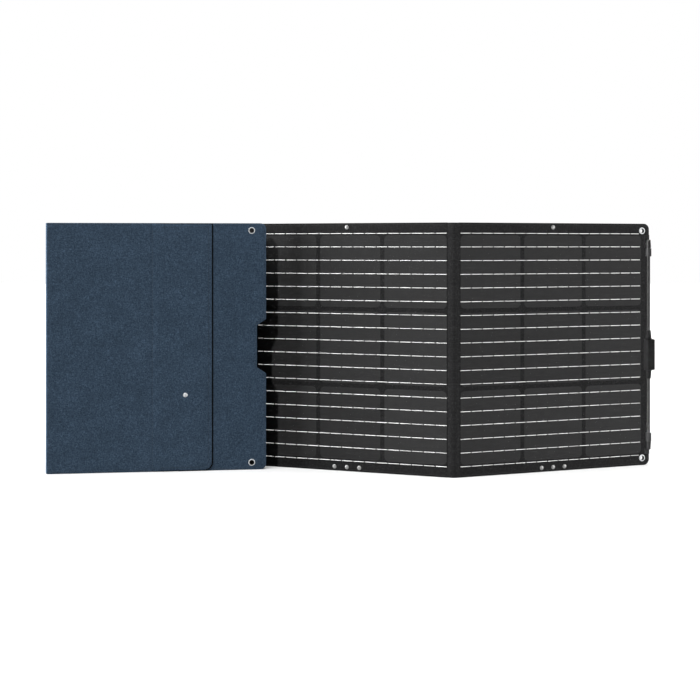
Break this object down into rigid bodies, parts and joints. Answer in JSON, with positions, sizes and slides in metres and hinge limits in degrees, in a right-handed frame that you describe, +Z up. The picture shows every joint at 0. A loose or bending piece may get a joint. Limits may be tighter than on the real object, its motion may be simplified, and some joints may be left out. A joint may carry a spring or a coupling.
{
  "type": "folding solar panel case",
  "caption": "Folding solar case of stiff fabric-covered panels with dark cells, fabric fold strips, a cable pocket with a snap flap, kickstands, eyelets and a cable handle with a sliding grip.",
  "frame": {"origin": "middle of the standing zigzag's plan box, on the ground", "axes": "X along the row of panels to the viewer's right, Y away from the viewer, Z up"},
  "size_m": [1.3406, 0.1712, 0.54],
  "materials": {
    "clear_film": "thin clear film, slightly matte",
    "solar_cell": "dark monocrystalline cell",
    "cell_ribbon": "tinned, bright",
    "black_fabric": "fine black weave",
    "stiff_board": "plain",
    "blue_fabric": "heather blue-grey weave",
    "hinge_fabric": "black fabric over a flat lead",
    "copper": "flat copper strip",
    "bright_metal": "bright nickel plate",
    "black_webbing": "black webbing",
    "padding": "felted padding",
    "box_plastic": "black moulded plastic",
    "screw_steel": "plain steel",
    "diode_resin": "black resin",
    "handle_plastic": "black moulded plastic",
    "handle_cable": "grey sheathed cable",
    "grip_rubber": "dark soft grip"
  },
  "bodies": {
    "panel_2": {"front_film_2": "clear_film", "cells_2": "solar_cell", "ribbons_2": "cell_ribbon", "front_cover_2": "black_fabric", "board_2": "stiff_board", "back_cover_2": "blue_fabric", "snap_studs_2": "bright_metal", "stay_strap_2": "black_webbing"},
    "strip_12": {"hinge_strip_12": "hinge_fabric", "link_leads_12": "copper"},
    "panel_1": {"front_film_1": "clear_film", "cells_1": "solar_cell", "ribbons_1": "cell_ribbon", "front_cover_1": "black_fabric", "board_1": "stiff_board", "back_cover_1": "blue_fabric", "pocket_padding": "padding", "pocket_front": "blue_fabric", "edge_sheet": "blue_fabric", "eyelets_1": "bright_metal", "flap_snap_stud": "bright_metal", "junction_tray": "box_plastic", "junction_lid": "box_plastic", "junction_screws": "screw_steel", "bypass_diodes": "diode_resin", "cable_gland": "box_plastic"},
    "flap": {"pocket_flap": "blue_fabric", "flap_snap_cap": "bright_metal"},
    "strip_23": {"hinge_strip_23": "hinge_fabric", "link_leads_23": "copper"},
    "panel_3": {"front_film_3": "clear_film", "cells_3": "solar_cell", "ribbons_3": "cell_ribbon", "front_cover_3": "black_fabric", "board_3": "stiff_board", "back_cover_3": "blue_fabric", "snap_studs_3": "bright_metal", "stay_strap_3": "black_webbing"},
    "strip_34": {"hinge_strip_34": "hinge_fabric", "link_leads_34": "copper"},
    "panel_4": {"front_film_4": "clear_film", "cells_4": "solar_cell", "ribbons_4": "cell_ribbon", "front_cover_4": "black_fabric", "board_4": "stiff_board", "back_cover_4": "blue_fabric", "snap_studs_4": "bright_metal", "stay_strap_4": "black_webbing", "eyelets_4": "bright_metal", "handle_anchors": "handle_plastic", "anchor_rivets": "screw_steel", "handle_cable": "handle_cable", "handle_collars": "handle_plastic"},
    "kick_2": {"kickstand_2": "blue_fabric"},
    "kick_3": {"kickstand_3": "blue_fabric"},
    "kick_4": {"kickstand_4": "blue_fabric"},
    "grip": {"handle_grip": "grip_rubber"}
  },
  "joints": [
    {"name": "fold_12", "type": "hinge", "parent": "panel_2", "child": "strip_12", "pos_m": [-0.66946, -0.01103, 0.27], "axis": [0, 0, 1], "range_deg": [-88.35, 1.2]},
    {"name": "fold_12_cover", "type": "hinge", "parent": "strip_12", "child": "panel_1", "pos_m": [-0.66623, -0.03067, 0.27], "axis": [0, 0, 1], "range_deg": [-88.35, 1.2]},
    {"name": "fold_23", "type": "hinge", "parent": "panel_2", "child": "strip_23", "pos_m": [-0.23647, 0.07313, 0.27], "axis": [0, 0, 1], "range_deg": [-12, 105.75]},
    {"name": "fold_23_far", "type": "hinge", "parent": "strip_23", "child": "panel_3", "pos_m": [-0.21663, 0.07148, 0.27], "axis": [0, 0, 1], "range_deg": [-12, 105.75]},
    {"name": "fold_34", "type": "hinge", "parent": "panel_3", "child": "strip_34", "pos_m": [0.19653, -0.08299, 0.27], "axis": [0, 0, -1], "range_deg": [-3, 98]},
    {"name": "fold_34_far", "type": "hinge", "parent": "strip_34", "child": "panel_4", "pos_m": [0.21643, -0.08299, 0.27], "axis": [0, 0, -1], "range_deg": [-3, 98]},
    {"name": "flap_fold", "type": "hinge", "parent": "panel_1", "child": "flap", "pos_m": [-0.43419, -0.01499, 0.27], "axis": [0, 0, 1], "range_deg": [-165, 0]},
    {"name": "kick_2_fold", "type": "hinge", "parent": "panel_2", "child": "kick_2", "pos_m": [-0.45393, 0.03601, 0.514], "axis": [-0.9816, -0.1908, 0], "range_deg": [-55, 0], "deforming": ["stay_strap_2"]},
    {"name": "kick_3_fold", "type": "hinge", "parent": "panel_3", "child": "kick_3", "pos_m": [-0.01531, 0.0016, 0.514], "axis": [-0.9367, 0.3502, 0], "range_deg": [-55, 0], "deforming": ["stay_strap_3"]},
    {"name": "kick_4_fold", "type": "hinge", "parent": "panel_4", "child": "kick_4", "pos_m": [0.42827, 0.0016, 0.514], "axis": [-0.9367, -0.3502, 0], "range_deg": [-55, 0], "deforming": ["stay_strap_4"]},
    {"name": "grip_slide", "type": "slide", "parent": "panel_4", "child": "grip", "axis": [0, 0, 1], "range_m": [-0.12, 0.163]}
  ],
  "couplings": [
    {"joint": "fold_12_cover", "follows": "fold_12", "ratio": 1},
    {"joint": "fold_23_far", "follows": "fold_23", "ratio": 1},
    {"joint": "fold_34_far", "follows": "fold_34", "ratio": 1}
  ]
}
